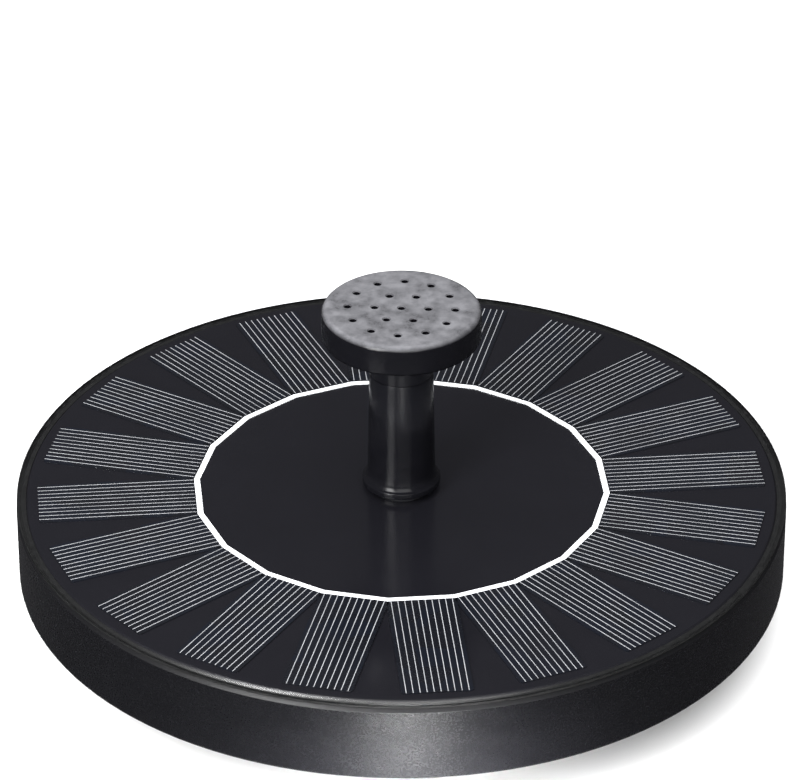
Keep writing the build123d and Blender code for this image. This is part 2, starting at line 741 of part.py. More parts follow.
def nozzle_cap():
    """Spray cap with rings of jet holes."""
    cap = rod(HEAD_RADIUS, cap_bottom, cap_top)
    cap = fillet(cap.edges().group_by(Axis.Z)[-1], CAP_EDGE)
    cap -= rod(HEAD_RADIUS - CAP_WALL, cap_bottom - 1, cap_top - CAP_WALL)
    jet = rod(JET_RADIUS, cap_top - 2 * CAP_WALL, cap_top + 1)
    for radius, count in JET_RINGS:
        cap -= around(Pos(radius, 0, 0) * jet, count)
    return cap


PARTS = {
    "float_shell": float_shell,
    "float_foam": float_foam,
    "rim_seal": rim_seal,
    "panel_cover": panel_cover,
    "panel_tray": panel_tray,
    "solar_cells": solar_cells,
    "bus_ring": bus_ring,
    "solder_pads": solder_pads,
    "pump_housing": pump_housing,
    "flange_gasket": flange_gasket,
    "flange_screws": flange_screws,
    "spout_seal": spout_seal,
    "spigot_oring": spigot_oring,
    "stator_core": stator_core,
    "stator_coils": stator_coils,
    "driver_board": driver_board,
    "board_parts": board_parts,
    "potting": potting,
    "shaft": shaft,
    "rear_bush": rear_bush,
    "front_bush": front_bush,
    "thrust_washers": thrust_washers,
    "volute_cover": volute_cover,
    "cover_screws": cover_screws,
    "impeller": impeller,
    "rotor_magnet": rotor_magnet,
    "strainer_cap": strainer_cap,
    "riser_tube": riser_tube,
    "nozzle_cup": nozzle_cup,
    "nozzle_cap": nozzle_cap,
}

os.makedirs("parts", exist_ok=True)
for name, make in PARTS.items():
    export_step(make(), f"parts/{name}.step")
for colour in pad_places():
    tube = lead(colour)
    export_step(tube, f"parts/lead_{colour}.step")
    path, radii = lead_path(colour)
    print(f"lead {colour}: length {path.length:.1f}, arc radii", [round(r, 1) for r in radii])
    expected = math.pi * LEAD_RADIUS**2 * path.length
    print(f"  volume {tube.volume:.1f}, section times length {expected:.1f}")
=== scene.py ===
"""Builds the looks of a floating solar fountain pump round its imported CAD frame.

Every size is in metres. The frame's own pieces stay where they are and get a finish;
the pieces that show most are modelled again here with their real edges and details.
"""

import math

import bmesh
import bpy
from bpy.props import FloatProperty, FloatVectorProperty, IntProperty, PointerProperty
from mathutils import Matrix, Vector


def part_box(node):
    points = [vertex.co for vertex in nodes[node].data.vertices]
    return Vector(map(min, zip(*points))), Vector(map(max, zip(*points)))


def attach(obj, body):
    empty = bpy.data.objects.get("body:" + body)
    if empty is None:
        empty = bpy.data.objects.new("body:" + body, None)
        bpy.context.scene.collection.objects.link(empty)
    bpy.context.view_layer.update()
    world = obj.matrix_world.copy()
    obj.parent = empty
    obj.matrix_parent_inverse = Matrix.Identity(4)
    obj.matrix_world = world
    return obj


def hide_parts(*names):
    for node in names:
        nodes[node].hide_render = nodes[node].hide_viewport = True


bl_info = {
    "name": "Floating Fountain Pump",
    "version": (1, 0, 0),
    "blender": (4, 5, 0),
    "location": "3D View > Sidebar > Fountain",
    "description": "Models and finishes a floating solar fountain pump round its frame",
    "category": "Object",
}

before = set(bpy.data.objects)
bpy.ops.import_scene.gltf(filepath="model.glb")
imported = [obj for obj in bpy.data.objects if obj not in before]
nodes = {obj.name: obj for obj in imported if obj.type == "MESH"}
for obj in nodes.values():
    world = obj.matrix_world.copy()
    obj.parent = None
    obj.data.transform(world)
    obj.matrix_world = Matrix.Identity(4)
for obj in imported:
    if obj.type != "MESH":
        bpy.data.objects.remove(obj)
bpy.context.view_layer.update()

MM = 0.001
FINE_STEPS = 256  # faces round the cover and its seal
MEDIUM_STEPS = 128  # faces round the riser and the head
JET_STEPS = 20  # faces round one jet hole
WELD = 0.0005 * MM  # points closer than this become one
SMOOTH_LIMIT = math.radians(32)  # sharper edges than this stay crisp

# Copies of CAD meshes
COPY_WELD = 0.002 * MM
COPY_FLAT = math.radians(0.4)  # faces that meet at less than this become one
COPY_CRISP = math.radians(40)  # edges sharper than this are rounded
COPY_SEGMENTS = 2
CUP_EDGE = 0.15 * MM
BASKET_EDGE = 0.2 * MM
SHELL_EDGE = 0.1 * MM
PLATE_EDGE = 0.1 * MM
SCREW_EDGE = 0.1 * MM

# Bounds that single out the points of the strip along +X
STRIP_NEAREST = 30 * MM
STRIP_HALF_ROOM = 8 * MM

# Small roundings and thicknesses of the pieces modelled here
COVER_INNER_EDGE = 0.25 * MM
COVER_FINE_EDGE = 0.1 * MM
RUBBED_REACH = 1.7  # width of the cover's rubbed rim, in roundings of its edge
WAFER_CORNER = 0.35 * MM
FINGER_THICKNESS = 0.03 * MM
RIBBON_EDGE = 0.04 * MM
CAP_FOOT_EDGE = 0.2 * MM
JET_FLARE = 0.22 * MM

# Stage
PANEL_HEIGHT = 0.03  # what the camera and most lights aim at
CAMERA_LENS = 216.3
CAMERA_LIFT = math.radians(1.11)  # the panel's middle sits below the picture's
CAMERA_ASIDE = math.radians(0.02)
FLOOR_REACH = 4.0
FLOOR_DROP = 0.2 * MM


# ---- reading the frame ------------------------------------------------------------
def low(node):
    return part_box(node)[0]


def high(node):
    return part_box(node)[1]


def radii(node, bottom=-1.0, top=1.0):
    """Least and greatest distance from the Z axis of a CAD node's points between two heights."""
    points = [v.co for v in nodes[node].data.vertices if bottom <= v.co.z <= top]
    spans = [point.xy.length for point in points]
    return min(spans), max(spans)


# ---- sizes and colours that a user would change -----------------------------------------
def size(name, text, default, least=0.0):
    return FloatProperty(
        name=name, description=text, default=default, min=least, unit="LENGTH", precision=5
    )


def tint(name, text, default):
    return FloatVectorProperty(
        name=name, description=text, default=default, subtype="COLOR", min=0.0, max=1.0
    )


def share(name, text, default):
    return FloatProperty(
        name=name, description=text, default=default, min=0.0, max=1.0, subtype="FACTOR"
    )


class PanelLook(bpy.types.PropertyGroup):
    """Solar panel under its clear cover."""

    cover_wall: size("Cover Wall", "Thickness of the clear cover", 1.2 * MM)
    cover_shoulder: size("Shoulder", "Rounding of the cover's outer edge", 1.45 * MM)
    seam_height: size("Seam Height", "Shadow gap between the cover and the shell", 0.35 * MM)
    seam_depth: size("Seam Depth", "How far the shadow gap goes in", 0.35 * MM)
    bead_sink: size("Bead Sink", "How far the seal stays back in the shadow gap", 0.12 * MM)
    bead_hang: size("Bead Hang", "How far the seal hangs below the cover's edge", 0.12 * MM)
    strips: IntProperty(
        name="Strips", description="Solar strips round the panel", default=20, min=3
    )
    fingers: IntProperty(
        name="Fingers", description="Silver fingers on each strip", default=10, min=1
    )
    finger_width: size("Finger Width", "Width of one silver finger", 0.15 * MM)
    finger_pitch: size("Finger Pitch", "Distance between fingers", 1.37 * MM)
    silicon: tint("Silicon", "Colour of the cells", (0.006, 0.0063, 0.008))
    backing: tint("Backing", "Colour of the backing board", (0.006, 0.0058, 0.0075))
    silver: tint("Silver", "Colour of the fingers", (0.4, 0.4, 0.41))
    ribbon: tint("Ribbon", "Colour of the joining ribbon", (0.95, 0.95, 0.96))


class PlasticLook(bpy.types.PropertyGroup):
    """Moulded plastics."""

    shell: tint("Shell", "Colour of the float's shell", (0.0024, 0.0024, 0.003))
    # the worn edge colour is partly wear and partly a painted highlight on the shell's upward
    # faces
    worn: tint("Worn Edge", "Colour of the shell's rubbed edge", (0.006, 0.006, 0.0066))
    shell_roughness: share("Shell Roughness", "Roughness of the float's shell", 0.27)
    nozzle: tint("Nozzle", "Colour of the riser and head", (0.003, 0.003, 0.004))
    nozzle_roughness: share("Nozzle Roughness", "Roughness of the riser and head", 0.2)
    # pale colour of the head's top: partly dried water marks, partly a painted sheen
    marks_and_sheen: tint("Water Marks", "Dried water marks on the head", (0.14, 0.14, 0.15))
    housing: tint("Housing", "Colour of the pump housing", (0.018, 0.018, 0.02))


class NozzleSizes(bpy.types.PropertyGroup):
    """Riser and spray head."""

    ring_height: size("Foot Ring", "Height of the riser's foot ring", 1.4 * MM)
    flare_height: size("Flare", "Height of the flare above the foot ring", 2.6 * MM)
    flare_reach: size("Flare Reach", "How far the foot ring stands out", 1.1 * MM)
    bore: size("Bore", "Radius of the water way", 3.8 * MM)
    cap_wall: size("Cap Wall", "Wall of the spray cap", 1.5 * MM)
    cap_edge: size("Cap Edge", "Rounding of the spray cap's edge", 1.4 * MM)
    jet: size("Jet", "Radius of one jet hole", 0.7 * MM)
    jet_ring: size("Jet Ring", "Radius of the outer ring of jets", 11.0 * MM)


class StageLook(bpy.types.PropertyGroup):
    """Floor, lights and camera."""

    floor: tint("Floor", "Colour of the floor", (0.94, 0.94, 0.94))
    surround: FloatProperty(
        name="Surround", description="Brightness of the room round the object", default=0.075
    )
    distance: size("Distance", "Camera to the middle of the panel", 1.0)
    elevation: FloatProperty(
        name="Elevation",
        description="Camera's height as an angle",
        default=math.radians(32.3),
        subtype="ANGLE",
    )
    turn: FloatProperty(
        name="Turn",
        description="Camera's turn round the object",
        default=math.radians(3.6),
        subtype="ANGLE",
    )


# ---- shader sockets as Python values ---------------------------------------------------
class Value:
    """A shader socket that takes part in arithmetic."""

    def __init__(self, shader, socket):
        self.shader = shader
        self.socket = socket

    def _with(self, operation, first, second):
        return self.shader.node(
            "ShaderNodeMath", {"operation": operation}, {0: first, 1: second}
        )

    def __add__(self, other):
        return self._with("ADD", self, other)

    def __radd__(self, other):
        return self._with("ADD", other, self)

    def __sub__(self, other):
        return self._with("SUBTRACT", self, other)

    def __rsub__(self, other):
        return self._with("SUBTRACT", other, self)

    def __mul__(self, other):
        return self._with("MULTIPLY", self, other)


class Finish:
    """A material under construction."""

    def __init__(self, name):
        self.material = bpy.data.materials.new(name)
        self.material.use_nodes = True
        self.tree = self.material.node_tree
        self.tree.nodes.clear()

    def node(self, kind, settings=None, inputs=None, output=0):
        made = self.tree.nodes.new(kind)
        for name, value in (settings or {}).items():
            if name == "stops":
                self._set_stops(made.color_ramp, value)
            else:
                setattr(made, name, value)
        for key, value in (inputs or {}).items():
            if isinstance(value, Value):
                self.tree.links.new(value.socket, made.inputs[key])
            else:
                made.inputs[key].default_value = value
        return Value(self, made.outputs[output])

    def _set_stops(self, ramp, stops):
        while len(ramp.elements) < len(stops):
            ramp.elements.new(0.5)
        for element, (place, level) in zip(ramp.elements, stops):
            element.position = place
            element.color = (level, level, level, 1)

    def place(self):
        return self.node("ShaderNodeTexCoord", output="Object")

    def from_axis(self):
        """Distance from the object's upright axis, in metres."""
        flat = self.node(
            "ShaderNodeVectorMath", {"operation": "MULTIPLY"}, {0: self.place(), 1: (1, 1, 0)}
        )
        return self.node("ShaderNodeVectorMath", {"operation": "LENGTH"}, {0: flat}, "Value")

    def noise(self, grain, detail=3.0, roughness=0.5, stretch=(1, 1, 1)):
        """Noise whose features are about one grain across, in metres."""
        where = self.node(
            "ShaderNodeMapping", {"vector_type": "POINT"}, {0: self.place(), 3: stretch}
        )
        return self.node(
            "ShaderNodeTexNoise",
            None,
            {"Vector": where, "Scale": 1 / grain, "Detail": detail, "Roughness": roughness},
        )

    def ramp(self, value, *stops):
        return self.node("ShaderNodeValToRGB", {"stops": stops}, {0: value})

    def mix(self, factor, first, second):
        sockets = {0: factor, 6: opaque(first), 7: opaque(second)}
        return self.node("ShaderNodeMix", {"data_type": "RGBA"}, sockets, output=2)

    def bump(self, height, strength, depth):
        return self.node(
            "ShaderNodeBump", None, {"Height": height, "Strength": strength, "Distance": depth}
        )

    def upward(self):
        normal = self.node("ShaderNodeNewGeometry", output="Normal")
        return self.node("ShaderNodeSeparateXYZ", None, {0: normal}, output=2)

    def facing_up(self):
        """1 on faces that look straight up, 0 on walls."""
        return self.ramp(self.upward(), (0.35, 0.0), (0.95, 1.0))

    def tilted_up(self):
        """1 on faces that lean back a little or more, 0 on walls."""
        return self.ramp(self.upward(), (0.04, 0.0), (0.15, 1.0), (0.4, 1.0), (0.65, 0.4))

    def end(self, shader):
        output = self.tree.nodes.new("ShaderNodeOutputMaterial")
        self.tree.links.new(shader.socket, output.inputs["Surface"])
        return self.material

    def principled(self, **sockets):
        """A Principled surface; words in socket names are joined by underscores."""
        inputs = {key.replace("_", " "): opaque(value) for key, value in sockets.items()}
        return self.end(self.node("ShaderNodeBsdfPrincipled", None, inputs))


def opaque(colour):
    """A plain colour gets its fourth number; anything else stays as it is."""
    if isinstance(colour, (Value, float, int)):
        return colour
    return (*colour, 1.0) if len(colour) == 3 else tuple(colour)


# ---- finishes ------------------------------------------------------------------------------
def moulded(name, colour, roughness, grain=0.35 * MM, relief=0.012 * MM, specular=0.4):
    """Injection-moulded plastic: fine spark-eroded grain, faint flow marks and handling."""
    finish = Finish(name)
    fine = finish.noise(grain, 2.0)
    flow = finish.noise(14 * MM, 4.0, 0.6, stretch=(1, 1, 2.5))
    lighter = [min(1.0, part * 1.5 + 0.002) for part in colour]
    rubbed = finish.ramp(flow, (0.42, 0.0), (0.72, 1.0))
    return finish.principled(
        Base_Color=finish.mix(rubbed * 0.55, colour, lighter),
        Roughness=roughness + (fine - 0.5) * 0.12 + (flow - 0.5) * 0.06,
        Specular_IOR_Level=specular,
        Normal=finish.bump(fine, 0.55, relief),
    )


def shell_wear_and_highlight(name, colour, worn, roughness):
    """Grained plastic, paler and duller along the upper edge: partly wear where hands have rubbed
    it, partly a painted highlight for the light that upward faces catch from above.
    """
    finish = Finish(name)
    grain = finish.noise(0.36 * MM, 0.0)
    flow = finish.noise(14 * MM, 4.0, 0.6, stretch=(1, 1, 2.5))
    # painted highlight: faces that look up get the paler worn colour, partly handling wear and
    # partly the light they catch from above
    rubbed = finish.facing_up() * (0.6 + flow * 0.8)
    edge = finish.tilted_up()
    lighter = [part * 1.5 for part in colour]
    return finish.principled(
        Base_Color=finish.mix(rubbed, finish.mix(flow, colour, lighter), worn),
        Roughness=roughness + edge * 0.3 + (grain - 0.5) * 0.08 + (flow - 0.5) * 0.05,
        Specular_IOR_Level=0.3,
        Normal=finish.bump(grain, 1.0, 0.035 * MM),
    )


def water_marks_and_sheen(name, colour, marks, roughness):
    """Black plastic whose upper face has dried into pale, rough water marks; the pale colour on
    the top face is partly those marks and partly a painted sheen for the bright room it reflects.
    """
    finish = Finish(name)
    fine = finish.noise(0.3 * MM, 2.0)
    blots = finish.noise(2.6 * MM, 5.0, 0.62)
    drops = finish.noise(6.5 * MM, 2.0, 0.5)
    marked = finish.ramp(blots * 0.6 + drops * 0.4, (0.38, 0.45), (0.62, 1.0))
    upward = finish.facing_up()
    # painted sheen: only faces that look up get the pale colour, partly dried water marks and
    # partly the reflection of the bright room
    cover = marked * upward
    return finish.principled(
        Base_Color=finish.mix(cover, colour, marks),
        Roughness=roughness + cover * 0.16 + (fine - 0.5) * 0.12,
        Specular_IOR_Level=0.16,
        Normal=finish.bump(fine * 0.6 + blots * upward * 0.9, 0.6, 0.03 * MM),
    )


def clear_plastic(name, rub_start, rub_end):
    """Clear polycarbonate: it mirrors from above, softly towards its rubbed rim."""
    finish = Finish(name)
    scuffs = finish.noise(3 * MM, 3.0, 0.6)
    haze = finish.noise(22 * MM, 3.0)
    rubbed = finish.node(
        "ShaderNodeMapRange",
        {"interpolation_type": "SMOOTHSTEP"},
        {0: finish.from_axis(), 1: rub_start, 2: rub_end},
    )
    rough = 0.1 + scuffs * 0.05 + haze * 0.05 + rubbed * 0.2
    open_side = finish.node(
        "ShaderNodeBsdfTransparent", None, {"Color": (0.965, 0.97, 0.975, 1)}
    )
    mirror = finish.node(
        "ShaderNodeBsdfPrincipled",
        None,
        {"Base Color": (1, 1, 1, 1), "Metallic": 1.0, "Roughness": rough},
    )
    bend = finish.node("ShaderNodeFresnel", None, {"IOR": 1.5})
    inside = finish.node("ShaderNodeNewGeometry", output="Backfacing")
    leaning = finish.ramp(finish.upward(), (0.2, 0.0), (0.5, 1.0))
    shine = bend * leaning * (1.0 - inside)
    both = finish.node("ShaderNodeMixShader", None, {0: shine, 1: open_side, 2: mirror})
    return finish.end(both)


def silicon(name, colour):
    """Cell wafers: nearly black, with a blue cast that drifts from grain to grain."""
    finish = Finish(name)
    crystals = finish.node(
        "ShaderNodeTexVoronoi", None, {"Vector": finish.place(), "Scale": 1 / (5 * MM)}, output=1
    )
    tone = finish.node("ShaderNodeSeparateColor", None, {0: crystals})
    dust = finish.noise(0.5 * MM, 2.0)
    bluer = (colour[0] * 0.8, colour[1] * 1.05, colour[2] * 1.5)
    return finish.principled(
        Base_Color=finish.mix(tone * 0.5, colour, bluer),
        Roughness=0.3 + (tone - 0.5) * 0.08 + (dust - 0.5) * 0.1,
        Specular_IOR_Level=0.12,
        Normal=finish.bump(dust, 0.3, 0.01 * MM),
    )


def printed_silver(name, colour):
    """Screen-printed silver paste: pale, a little uneven, barely metallic."""
    finish = Finish(name)
    paste = finish.noise(0.8 * MM, 3.0)
    worn = finish.noise(9 * MM, 2.0)
    darker = [part * 0.62 for part in colour]
    return finish.principled(
        Base_Color=finish.mix(finish.ramp(worn, (0.45, 0.0), (0.75, 0.8)), colour, darker),
        Metallic=0.1,
        Roughness=0.45 + (paste - 0.5) * 0.3,
        Normal=finish.bump(paste, 0.4, 0.01 * MM),
    )


def enamel(name, colour):
    """White-coated ribbon with faint ripples from its rolling."""
    finish = Finish(name)
    ripples = finish.noise(1.4 * MM, 2.0)
    duller = [part * 0.94 for part in colour]
    return finish.principled(
        Base_Color=finish.mix(ripples * 0.4, colour, duller),
        Roughness=0.4 + (ripples - 0.5) * 0.2,
        Normal=finish.bump(ripples, 0.3, 0.01 * MM),
    )


def backing(name, colour):
    """Black coated board: smooth, with a faint glass-cloth weave in its coat."""
    finish = Finish(name)
    strands = {"Vector": finish.place(), "Scale": 1 / (2.6 * MM), "Distortion": 0.4}
    weave_x = finish.node(
        "ShaderNodeTexWave", {"bands_direction": "X"}, strands, output="Fac"
    )
    weave_y = finish.node(
        "ShaderNodeTexWave", {"bands_direction": "Y"}, strands, output="Fac"
    )
    cloth = weave_x * weave_y
    cloudy = finish.noise(11 * MM, 3.0)
    lighter = [part * 1.35 for part in colour]
    return finish.principled(
        Base_Color=finish.mix(cloudy * 0.6, colour, lighter),
        Roughness=0.3 + cloth * 0.08 + (cloudy - 0.5) * 0.1,
        Specular_IOR_Level=0.12,
        Normal=finish.bump(cloth, 0.12, 0.01 * MM),
    )


def rubber(name, colour, roughness=0.7, specular=0.5):
    """Soft seal or sleeve: matte, with a dusty bloom."""
    finish = Finish(name)
    bloom = finish.noise(1.5 * MM, 4.0, 0.6)
    dusted = [min(1.0, part + 0.02) for part in colour]
    return finish.principled(
        Base_Color=finish.mix(bloom * 0.6, colour, dusted),
        Roughness=roughness + (bloom - 0.5) * 0.2,
        Specular_IOR_Level=specular,
        Normal=finish.bump(bloom, 0.3, 0.02 * MM),
    )


def machined(name, colour, roughness, stretch=(1, 1, 1)):
    """Bare metal with tooling lines along one direction and a little tarnish."""
    finish = Finish(name)
    lines = finish.noise(0.5 * MM, 2.0, stretch=stretch)
    tarnish = finish.noise(4 * MM, 3.0)
    darker = [part * 0.72 for part in colour]
    return finish.principled(
        Base_Color=finish.mix(tarnish * 0.5, colour, darker),
        Metallic=1.0,
        Roughness=roughness + (lines - 0.5) * 0.25,
        Normal=finish.bump(lines, 0.4, 0.004 * MM),
    )


def circuit_board(name):
    """Green solder mask over copper tracks."""
    finish = Finish(name)
    cells = {"Vector": finish.place(), "Scale": 1 / (2.2 * MM)}
    tracks = finish.node("ShaderNodeTexVoronoi", {"feature": "DISTANCE_TO_EDGE"}, cells)
    copper = finish.ramp(tracks, (0.08, 1.0), (0.12, 0.0))
    weave = finish.noise(0.6 * MM, 2.0)
    return finish.principled(
        Base_Color=finish.mix(copper, (0.008, 0.06, 0.022), (0.02, 0.15, 0.045)),
        Roughness=0.32 + (weave - 0.5) * 0.15,
        Normal=finish.bump(copper, 0.5, 0.03 * MM),
    )


def closed_foam(name):
    """White closed-cell foam: packed beads."""
    finish = Finish(name)
    beads = finish.node(
        "ShaderNodeTexVoronoi", None, {"Vector": finish.place(), "Scale": 1 / (2.2 * MM)}
    )
    seams = finish.ramp(beads, (0.35, 0.0), (0.75, 1.0))
    return finish.principled(
        Base_Color=finish.mix(seams, (0.82, 0.82, 0.8), (0.62, 0.62, 0.6)),
        Roughness=0.8 - seams * 0.1,
        Normal=finish.bump(1.0 - beads, 0.7, 0.4 * MM),
    )


def ferrite(name):
    """Sintered magnet: dark grey, pitted."""
    finish = Finish(name)
    pits = finish.noise(0.7 * MM, 5.0, 0.7)
    return finish.principled(
        Base_Color=finish.mix(pits, (0.03, 0.03, 0.032), (0.075, 0.074, 0.075)),
        Metallic=0.35,
        Roughness=0.5 + (pits - 0.5) * 0.3,
        Normal=finish.bump(pits, 0.5, 0.05 * MM),
    )


def floor_paint(name, colour):
    """Pale seamless floor with a hint of tone, open from below so the underside can be seen."""
    finish = Finish(name)
    drift = finish.noise(0.4, 2.0)
    darker = [part * 0.985 for part in colour]
    paint = finish.node(
        "ShaderNodeBsdfPrincipled",
        None,
        {
            "Base Color": finish.mix(drift, colour, darker),
            "Roughness": 0.85 + (drift - 0.5) * 0.05,
            "Specular IOR Level": 0.15,
        },
    )
    below = finish.node("ShaderNodeNewGeometry", output="Backfacing")
    clear = finish.node("ShaderNodeBsdfTransparent")
    return finish.end(finish.node("ShaderNodeMixShader", None, {0: below, 1: paint, 2: clear}))


# ---- shaping -------------------------------------------------------------------------------
def lathe(outline, steps, closed=True, centre=(0.0, 0.0), into=None):
    """Turns an outline of radius and height round a vertical axis."""
    mesh = into or bmesh.new()
    points = [mesh.verts.new((centre[0] + r, centre[1], z)) for r, z in outline]
    pairs = list(zip(points, points[1:]))
    if closed:
        pairs.append((points[-1], points[0]))
    edges = [mesh.edges.new(pair) for pair in pairs]
    bmesh.ops.spin(
        mesh,
        geom=points + edges,
        cent=(*centre, 0),
        axis=(0, 0, 1),
        angle=2 * math.pi,
        steps=steps,
        use_merge=True,
    )
    return mesh


def circle_edges(mesh, radius, height, slack=0.02 * MM):
    """Edges that run round the Z axis at one radius and height."""
    return [
        edge
        for edge in mesh.edges
        if all(
            abs(v.co.xy.length - radius) < slack and abs(v.co.z - height) < slack
            for v in edge.verts
        )
    ]


def round_over(mesh, edges, radius, segments, clamped=True):
    bmesh.ops.bevel(
        mesh,
        geom=edges,
        offset=radius,
        offset_type="OFFSET",
        affect="EDGES",
        segments=segments,
        profile=0.5,
        material=-1,
        clamp_overlap=clamped,
    )


def tidy(mesh):
    bmesh.ops.remove_doubles(mesh, verts=mesh.verts, dist=WELD)
    bmesh.ops.recalc_face_normals(mesh, faces=mesh.faces)


def piece(name, mesh, material, body, replaced=(), weighted=True):
    """Turns finished mesh work into an object that rides on a body of the frame."""
    for face in mesh.faces:
        face.smooth = True
    for edge in mesh.edges:
        edge.smooth = not edge.is_manifold or edge.calc_face_angle(0) < SMOOTH_LIMIT
    data = bpy.data.meshes.new(name)
    mesh.to_mesh(data)
    mesh.free()
    data.materials.append(material)
    made = bpy.data.objects.new(name, data)
    bpy.context.scene.collection.objects.link(made)
    if weighted:
        normals = made.modifiers.new("even normals", "WEIGHTED_NORMAL")
        normals.keep_sharp = True
        normals.weight = 100
    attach(made, body)
    if replaced:
        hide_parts(*replaced)
    return made


def paint(material, *names):
    """Gives CAD nodes a finish."""
    for name in names:
        for place in nodes[name].material_slots:
            place.material = material


def softened(node, radius):
    """A copy of a CAD node's mesh with its crisp edges rounded."""
    mesh = bmesh.new()
    mesh.from_mesh(nodes[node].data)
    bmesh.ops.remove_doubles(mesh, verts=mesh.verts, dist=COPY_WELD)
    bmesh.ops.dissolve_limit(mesh, angle_limit=COPY_FLAT, verts=mesh.verts, edges=mesh.edges)
    crisp = [
        edge for edge in mesh.edges if edge.is_manifold and edge.calc_face_angle(0) > COPY_CRISP
    ]
    round_over(mesh, crisp, radius, COPY_SEGMENTS, clamped=False)
    return mesh


# ---- operators -------------------------------------------------------------------------------
class FOUNTAIN_OT_panel(bpy.types.Operator):
    """Model the clear cover, the cells, their silver fingers and the ribbon"""

    bl_idname = "fountain.panel"
    bl_label = "Solar Panel"

    def execute(self, context):
        look = context.scene.panel_look
        self.cover(look)
        self.wafers(look)
        self.fingers(look)
        self.ribbon(look)
        paint(backing("backing board", look.backing), "panel_tray")
        # painted shade: the seam seal is a real seal, made near black and barely reflective so
        # that it also stands in for the shade in the gap between cover and shell
        seal = rubber("seam seal", (0.003, 0.003, 0.003), 0.7, 0.05)
        paint(seal, "rim_seal")
        piece("seal_bead", self.bead(look), seal, "float_body")
        return {"FINISHED"}

    def cover(self, look):
        hole, rim = radii("panel_cover")
        foot, top = low("panel_cover").z, high("panel_cover").z
        under = top - look.cover_wall
        inner = rim - look.cover_wall
        groove = rim - look.seam_depth
        lip = foot + look.seam_height
        outline = (
            (hole, under),
            (hole, top),
            (rim, top),
            (rim, lip),
            (groove, lip),
            (groove, foot),
            (inner, foot),
            (inner, under),
        )
        mesh = lathe(outline, FINE_STEPS)
        round_over(mesh, circle_edges(mesh, rim, top), look.cover_shoulder, 10)
        round_over(mesh, circle_edges(mesh, inner, under), COVER_INNER_EDGE, 3)
        for radius, height in ((rim, lip), (inner, foot), (hole, top), (hole, under)):
            round_over(mesh, circle_edges(mesh, radius, height), COVER_FINE_EDGE, 2)
        tidy(mesh)
        material = clear_plastic("clear cover", rim - RUBBED_REACH * look.cover_shoulder, rim)
        piece("clear_cover", mesh, material, "float_body", ["panel_cover"])

    def bead(self, look):
        """The seal squeezed out between the cover's edge and the shell's chamfer; near black, it
        also stands in for the shade in the gap.
        """
        rim, foot = radii("panel_cover")[1], low("panel_cover").z
        seal, seam = radii("rim_seal")[1], low("rim_seal").z
        groove, face = rim - look.seam_depth, rim - look.bead_sink
        lip = foot + look.seam_height
        outline = (
            (seal, foot),
            (groove, foot),
            (groove, lip),
            (face, lip),
            (face, foot - look.bead_hang),
            (seal, seam),
        )
        mesh = lathe(outline, FINE_STEPS)
        tidy(mesh)
        return mesh

    def strip_frame(self, look, index):
        """Turns a strip that lies along +X to its place round the panel."""
        return Matrix.Rotation((index + 0.5) * 2 * math.pi / look.strips, 4, "Z")

    def strip_sizes(self, look):
        """Nearest and farthest reach of a strip, and its width, read from the CAD cells."""
        points = [v.co for v in nodes["solar_cells"].data.vertices]
        back = self.strip_frame(look, 0).inverted()
        own = [back @ p for p in points]
        mine = [p for p in own if p.x > STRIP_NEAREST and abs(p.y) < STRIP_HALF_ROOM]
        return min(p.x for p in mine), max(p.x for p in mine), 2 * max(p.y for p in mine)

    def wafers(self, look):
        start, end, width = self.strip_sizes(look)
        bottom, top = low("solar_cells").z, high("solar_cells").z
        mesh = bmesh.new()
        for index in range(look.strips):
            middle = Vector(((start + end) / 2, 0, (bottom + top) / 2))
            scale = Matrix.Diagonal((end - start, width, top - bottom, 1))
            place = self.strip_frame(look, index) @ Matrix.Translation(middle) @ scale
            bmesh.ops.create_cube(mesh, size=1.0, matrix=place)
        upright = [
            edge for edge in mesh.edges if abs(edge.verts[0].co.z - edge.verts[1].co.z) > 0.1 * MM
        ]
        round_over(mesh, upright, WAFER_CORNER, 1)
        tidy(mesh)
        piece(
            "cell_wafers", mesh, silicon("silicon", look.silicon), "float_body",
            ["solar_cells"],
        )

    def fingers(self, look):
        start, end, _ = self.strip_sizes(look)
        middle_height = high("solar_cells").z + FINGER_THICKNESS / 2
        mesh = bmesh.new()
        for index in range(look.strips):
            turn = self.strip_frame(look, index)
            for line in range(look.fingers):
                aside = (line - (look.fingers - 1) / 2) * look.finger_pitch
                middle = Vector(((start + end) / 2, aside, middle_height))
                scale = Matrix.Diagonal((end - start, look.finger_width, FINGER_THICKNESS, 1))
                place = turn @ Matrix.Translation(middle) @ scale
                bmesh.ops.create_cube(mesh, size=1.0, matrix=place)
        bmesh.ops.recalc_face_normals(mesh, faces=mesh.faces)
        piece(
            "cell_fingers", mesh, printed_silver("printed silver", look.silver), "float_body",
            weighted=False,
        )

    def ribbon(self, look):
        inner, outer = radii("bus_ring")
        bottom, top = low("bus_ring").z, high("bus_ring").z
        outline = ((inner, bottom), (outer, bottom), (outer, top), (inner, top))
        mesh = lathe(outline, look.strips)
        corners = [edge for edge in mesh.edges if edge.calc_face_angle(0) > math.radians(60)]
        round_over(mesh, corners, RIBBON_EDGE, 2)
        tidy(mesh)
        piece(
            "white_ribbon", mesh, enamel("white ribbon", look.ribbon), "float_body",
            ["bus_ring"],
        )


